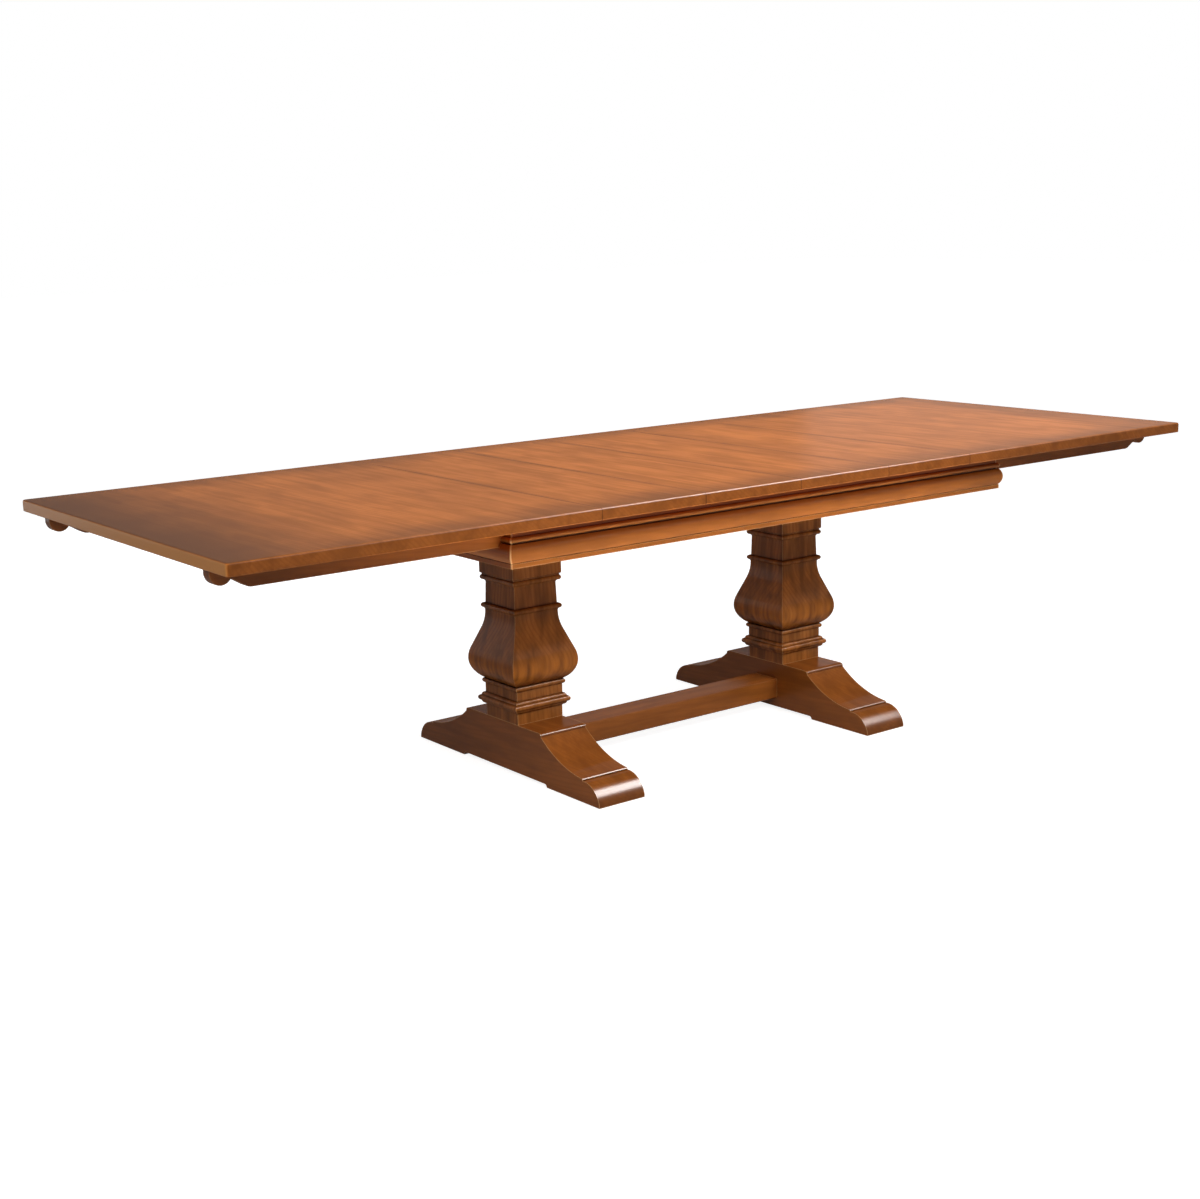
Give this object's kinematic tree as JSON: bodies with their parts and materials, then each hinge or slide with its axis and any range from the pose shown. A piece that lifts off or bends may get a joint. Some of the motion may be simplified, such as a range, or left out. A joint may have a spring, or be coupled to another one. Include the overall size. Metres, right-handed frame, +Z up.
{
  "type": "double pedestal extension dining table",
  "caption": "Extension dining table on square moulded pedestals joined by a stretcher, with end halves that slide apart on geared rails to free loose leaves.",
  "frame": {"origin": "on the floor, midway between the pedestals, under the centre of the top", "axes": "+X along the table's length, +Y across its width, +Z up"},
  "size_m": [3.048, 1.1, 0.762],
  "materials": {
    "top_wood": "cherry stain under satin lacquer",
    "base_wood": "cherry stain under satin lacquer, burnished edges",
    "inner_wood": "sanded hardwood, oiled",
    "steel": "zinc plated",
    "nylon": "moulded"
  },
  "bodies": {
    "base": {"apron_front": "base_wood", "apron_left": "base_wood", "apron_rear": "base_wood", "apron_right": "base_wood", "centre_bearer": "inner_wood", "corner_blocks": "inner_wood", "foot_glides": "nylon", "guide_rail_front": "inner_wood", "guide_rail_rear": "inner_wood", "left_bearer": "inner_wood", "left_column": "base_wood", "left_foot": "base_wood", "left_tie_rod": "steel", "pinion_axle": "steel", "rack_keepers": "inner_wood", "right_bearer": "inner_wood", "right_column": "base_wood", "right_foot": "base_wood", "right_tie_rod": "steel", "stretcher": "base_wood", "tie_rod_nuts": "steel"},
    "left_half": {"left_batten": "inner_wood", "left_rack": "inner_wood", "left_rail_front": "base_wood", "left_rail_rear": "base_wood", "left_top": "top_wood", "left_top_tongues": "inner_wood"},
    "right_half": {"right_batten": "inner_wood", "right_rack": "inner_wood", "right_rail_front": "base_wood", "right_rail_rear": "base_wood", "right_top": "top_wood"},
    "leaf_1": {"leaf_1": "top_wood", "leaf_1_tongues": "inner_wood"},
    "leaf_2": {"leaf_2": "top_wood", "leaf_2_tongues": "inner_wood"},
    "leaf_3": {"leaf_3": "top_wood", "leaf_3_tongues": "inner_wood"},
    "leaf_4": {"leaf_4": "top_wood", "leaf_4_tongues": "inner_wood"},
    "pinion": {"pinion": "nylon"}
  },
  "joints": [
    {"name": "left_slide", "type": "slide", "parent": "base", "child": "left_half", "axis": [-1, 0, 0], "range_m": [0, 0.05]},
    {"name": "right_slide", "type": "slide", "parent": "base", "child": "right_half", "axis": [1, 0, 0], "range_m": [0, 0.05]},
    {"name": "leaf_1_slide", "type": "slide", "parent": "base", "child": "leaf_1", "axis": [-1, 0, 0], "range_m": [0, 0.03]},
    {"name": "leaf_2_slide", "type": "slide", "parent": "base", "child": "leaf_2", "axis": [-1, 0, 0], "range_m": [0, 0.01]},
    {"name": "leaf_3_slide", "type": "slide", "parent": "base", "child": "leaf_3", "axis": [1, 0, 0], "range_m": [0, 0.01]},
    {"name": "leaf_4_slide", "type": "slide", "parent": "base", "child": "leaf_4", "axis": [1, 0, 0], "range_m": [0, 0.03]},
    {"name": "pinion_spin", "type": "hinge", "parent": "base", "child": "pinion", "pos_m": [0, 0, 0.6935], "axis": [0, 0, 1], "range_deg": [0, 80]}
  ],
  "couplings": [
    {"joint": "right_slide", "follows": "left_slide", "ratio": 1},
    {"joint": "leaf_1_slide", "follows": "left_slide", "ratio": 0.6},
    {"joint": "leaf_2_slide", "follows": "left_slide", "ratio": 0.2},
    {"joint": "leaf_3_slide", "follows": "left_slide", "ratio": 0.2},
    {"joint": "leaf_4_slide", "follows": "left_slide", "ratio": 0.6},
    {"joint": "pinion_spin", "follows": "left_slide", "rad_per_m": 27.778}
  ]
}
